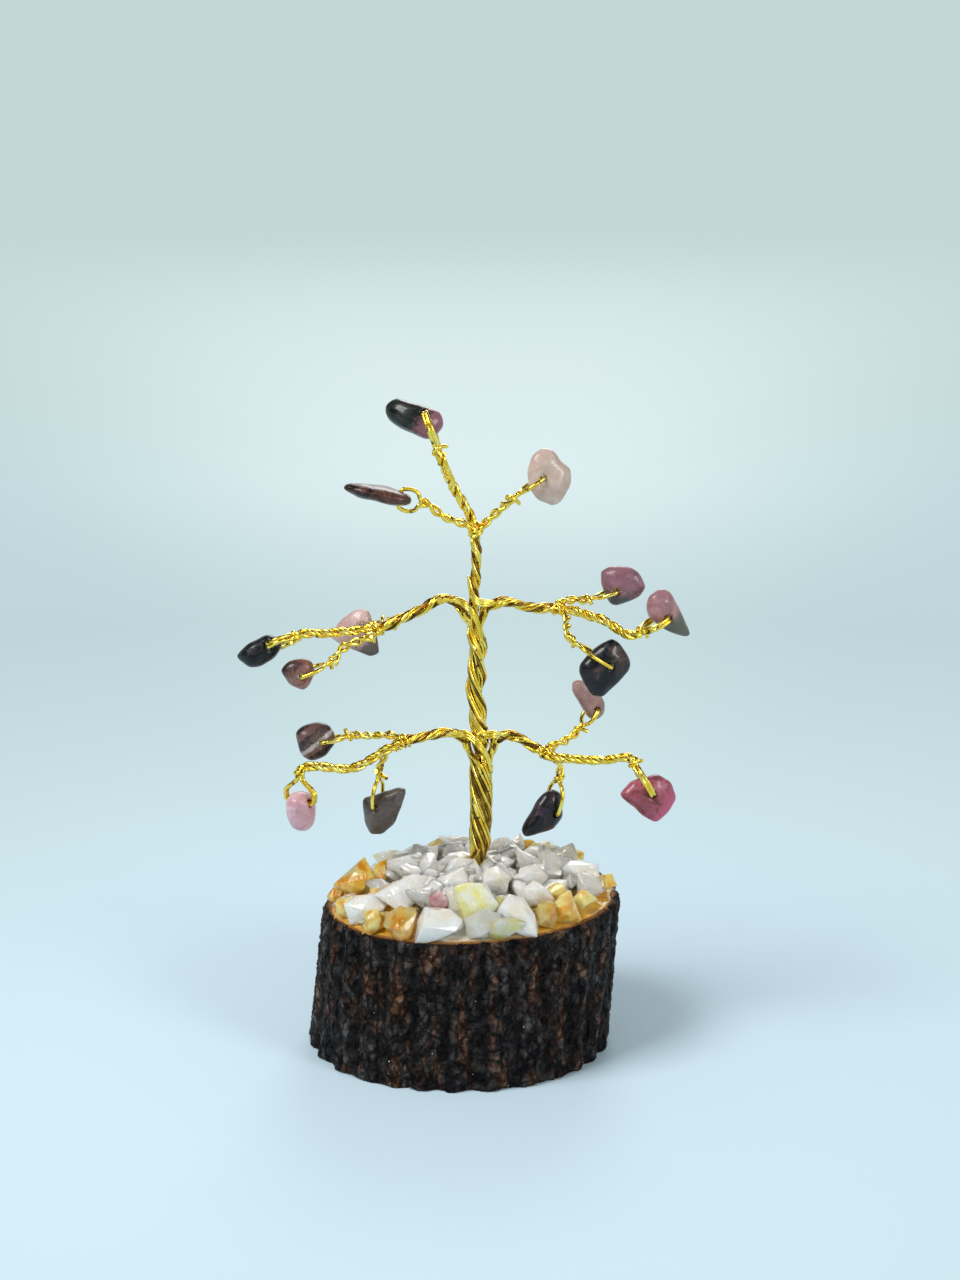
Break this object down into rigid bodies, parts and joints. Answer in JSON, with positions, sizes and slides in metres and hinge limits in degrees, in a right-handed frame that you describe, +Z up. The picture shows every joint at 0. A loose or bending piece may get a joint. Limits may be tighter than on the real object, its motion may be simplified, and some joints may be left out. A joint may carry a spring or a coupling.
{
  "type": "gemstone tree ornament",
  "caption": "Wire tree with drilled stone chips threaded on its twigs, rooted in tumbled gravel glued to a slice of branch wood with its bark on.",
  "frame": {"origin": "middle of the flat underside of the wood slice", "axes": "+Z up, -Y towards the viewer of the picture, +X to the right seen from there"},
  "size_m": [0.0581, 0.0334, 0.0865],
  "materials": {
    "bark": "furrowed bark under a glossy varnish",
    "sawn_wood": "sawn wood, dull underneath",
    "glue": "clear glue dried over the wood",
    "clear_quartz_gravel": "tumbled stone, glossy",
    "citrine_gravel": "tumbled stone, glossy",
    "lemon_quartz_gravel": "tumbled stone, glossy",
    "pink_gravel_chip": "tumbled stone, glossy",
    "gold_wire": "gold-coloured craft wire, worn dull at the bends",
    "top_left_chip_stone": "tumbled stone, polished",
    "top_side_chip_stone": "tumbled stone, polished",
    "top_right_chip_stone": "tumbled stone, polished",
    "upper_left_tip_chip_stone": "tumbled stone, polished",
    "upper_left_front_chip_stone": "tumbled stone, polished",
    "upper_left_back_chip_stone": "tumbled stone, polished",
    "upper_right_high_chip_stone": "tumbled stone, polished",
    "upper_right_tip_chip_stone": "tumbled stone, polished",
    "upper_right_low_chip_stone": "tumbled stone, polished",
    "lower_left_high_chip_stone": "tumbled stone, polished",
    "lower_left_tip_chip_stone": "tumbled stone, polished",
    "lower_left_hanging_chip_stone": "tumbled stone, polished",
    "lower_right_high_chip_stone": "tumbled stone, polished",
    "lower_right_tip_chip_stone": "tumbled stone, polished",
    "lower_right_hanging_chip_stone": "tumbled stone, polished"
  },
  "bodies": {
    "tree": {"bark": "bark", "wood_core": "sawn_wood", "glue_bed": "glue", "clear_quartz_gravel": "clear_quartz_gravel", "citrine_gravel": "citrine_gravel", "lemon_quartz_gravel": "lemon_quartz_gravel", "pink_gravel_chip": "pink_gravel_chip", "trunk_lower": "gold_wire", "trunk_middle": "gold_wire", "trunk_top": "gold_wire", "upper_left_branch": "gold_wire", "upper_right_branch": "gold_wire", "lower_left_branch": "gold_wire", "lower_right_branch": "gold_wire", "top_left_wire": "gold_wire", "top_side_wire": "gold_wire", "top_right_wire": "gold_wire", "upper_left_tip_wire": "gold_wire", "upper_left_front_wire": "gold_wire", "upper_left_back_wire": "gold_wire", "upper_right_high_wire": "gold_wire", "upper_right_tip_wire": "gold_wire", "upper_right_low_wire": "gold_wire", "lower_left_high_wire": "gold_wire", "lower_left_tip_wire": "gold_wire", "lower_left_hanging_wire": "gold_wire", "lower_right_high_wire": "gold_wire", "lower_right_tip_wire": "gold_wire", "lower_right_hanging_wire": "gold_wire"},
    "top_left_stone": {"top_left_chip": "top_left_chip_stone"},
    "top_side_stone": {"top_side_chip": "top_side_chip_stone"},
    "top_right_stone": {"top_right_chip": "top_right_chip_stone"},
    "upper_left_tip_stone": {"upper_left_tip_chip": "upper_left_tip_chip_stone"},
    "upper_left_front_stone": {"upper_left_front_chip": "upper_left_front_chip_stone"},
    "upper_left_back_stone": {"upper_left_back_chip": "upper_left_back_chip_stone"},
    "upper_right_high_stone": {"upper_right_high_chip": "upper_right_high_chip_stone"},
    "upper_right_tip_stone": {"upper_right_tip_chip": "upper_right_tip_chip_stone"},
    "upper_right_low_stone": {"upper_right_low_chip": "upper_right_low_chip_stone"},
    "lower_left_high_stone": {"lower_left_high_chip": "lower_left_high_chip_stone"},
    "lower_left_tip_stone": {"lower_left_tip_chip": "lower_left_tip_chip_stone"},
    "lower_left_hanging_stone": {"lower_left_hanging_chip": "lower_left_hanging_chip_stone"},
    "lower_right_high_stone": {"lower_right_high_chip": "lower_right_high_chip_stone"},
    "lower_right_tip_stone": {"lower_right_tip_chip": "lower_right_tip_chip_stone"},
    "lower_right_hanging_stone": {"lower_right_hanging_chip": "lower_right_hanging_chip_stone"}
  },
  "joints": [
    {"name": "top_left_swing", "type": "hinge", "parent": "tree", "child": "top_left_stone", "pos_m": [-0.00372, -0.00056, 0.08422], "axis": [-0.1504, -0.8529, 0.5], "range_deg": [-20, 20]},
    {"name": "top_side_swing", "type": "hinge", "parent": "tree", "child": "top_side_stone", "pos_m": [-0.00722, -0.00098, 0.07414], "axis": [0.2074, 0.0698, 0.9758], "range_deg": [-20, 20]},
    {"name": "top_right_swing", "type": "hinge", "parent": "tree", "child": "top_right_stone", "pos_m": [0.01056, -0.00196, 0.07694], "axis": [0.172, -0.9752, 0.1392], "range_deg": [-20, 20]},
    {"name": "upper_left_tip_swing", "type": "hinge", "parent": "tree", "child": "upper_left_tip_stone", "pos_m": [-0.02359, -0.00293, 0.05539], "axis": [-0.2432, -0.9077, 0.342], "range_deg": [-20, 20]},
    {"name": "upper_left_front_swing", "type": "hinge", "parent": "tree", "child": "upper_left_front_stone", "pos_m": [-0.01981, -0.00545, 0.05231], "axis": [0.173, -0.9811, 0.0872], "range_deg": [-20, 20]},
    {"name": "upper_left_back_swing", "type": "hinge", "parent": "tree", "child": "upper_left_back_stone", "pos_m": [-0.01225, 0.00267, 0.05672], "axis": [-0.173, -0.9811, 0.0872], "range_deg": [-20, 20]},
    {"name": "upper_right_high_swing", "type": "hinge", "parent": "tree", "child": "upper_right_high_stone", "pos_m": [0.02066, 0.00202, 0.06159], "axis": [-0.2079, -0.9781, 0], "range_deg": [-20, 20]},
    {"name": "upper_right_tip_swing", "type": "hinge", "parent": "tree", "child": "upper_right_tip_stone", "pos_m": [0.02647, -0.00064, 0.05865], "axis": [0.2578, -0.9623, 0.0872], "range_deg": [-20, 20]},
    {"name": "upper_right_low_swing", "type": "hinge", "parent": "tree", "child": "upper_right_low_stone", "pos_m": [0.01926, -0.004, 0.05334], "axis": [0.1392, -0.9903, 0], "range_deg": [-20, 20]},
    {"name": "lower_left_high_swing", "type": "hinge", "parent": "tree", "child": "lower_left_high_stone", "pos_m": [-0.018, 0.00103, 0.04148], "axis": [0.171, -0.9698, 0.1736], "range_deg": [-20, 20]},
    {"name": "lower_left_tip_swing", "type": "hinge", "parent": "tree", "child": "lower_left_tip_stone", "pos_m": [-0.02038, -0.00303, 0.03462], "axis": [0.8829, -0.4695, 0], "range_deg": [-20, 20]},
    {"name": "lower_left_hanging_swing", "type": "hinge", "parent": "tree", "child": "lower_left_hanging_stone", "pos_m": [-0.01072, 0.00145, 0.03252], "axis": [-0.309, -0.9511, 0], "range_deg": [-20, 20]},
    {"name": "lower_right_high_swing", "type": "hinge", "parent": "tree", "child": "lower_right_high_stone", "pos_m": [0.01779, 0.00246, 0.04566], "axis": [0.342, -0.9397, 0], "range_deg": [-20, 20]},
    {"name": "lower_right_tip_swing", "type": "hinge", "parent": "tree", "child": "lower_right_tip_stone", "pos_m": [0.02493, -0.00202, 0.03572], "axis": [0.1736, -0.9848, 0], "range_deg": [-20, 20]},
    {"name": "lower_right_hanging_swing", "type": "hinge", "parent": "tree", "child": "lower_right_hanging_stone", "pos_m": [0.01233, 0.00092, 0.0318], "axis": [0.4226, -0.9063, 0], "range_deg": [-20, 20]}
  ]
}
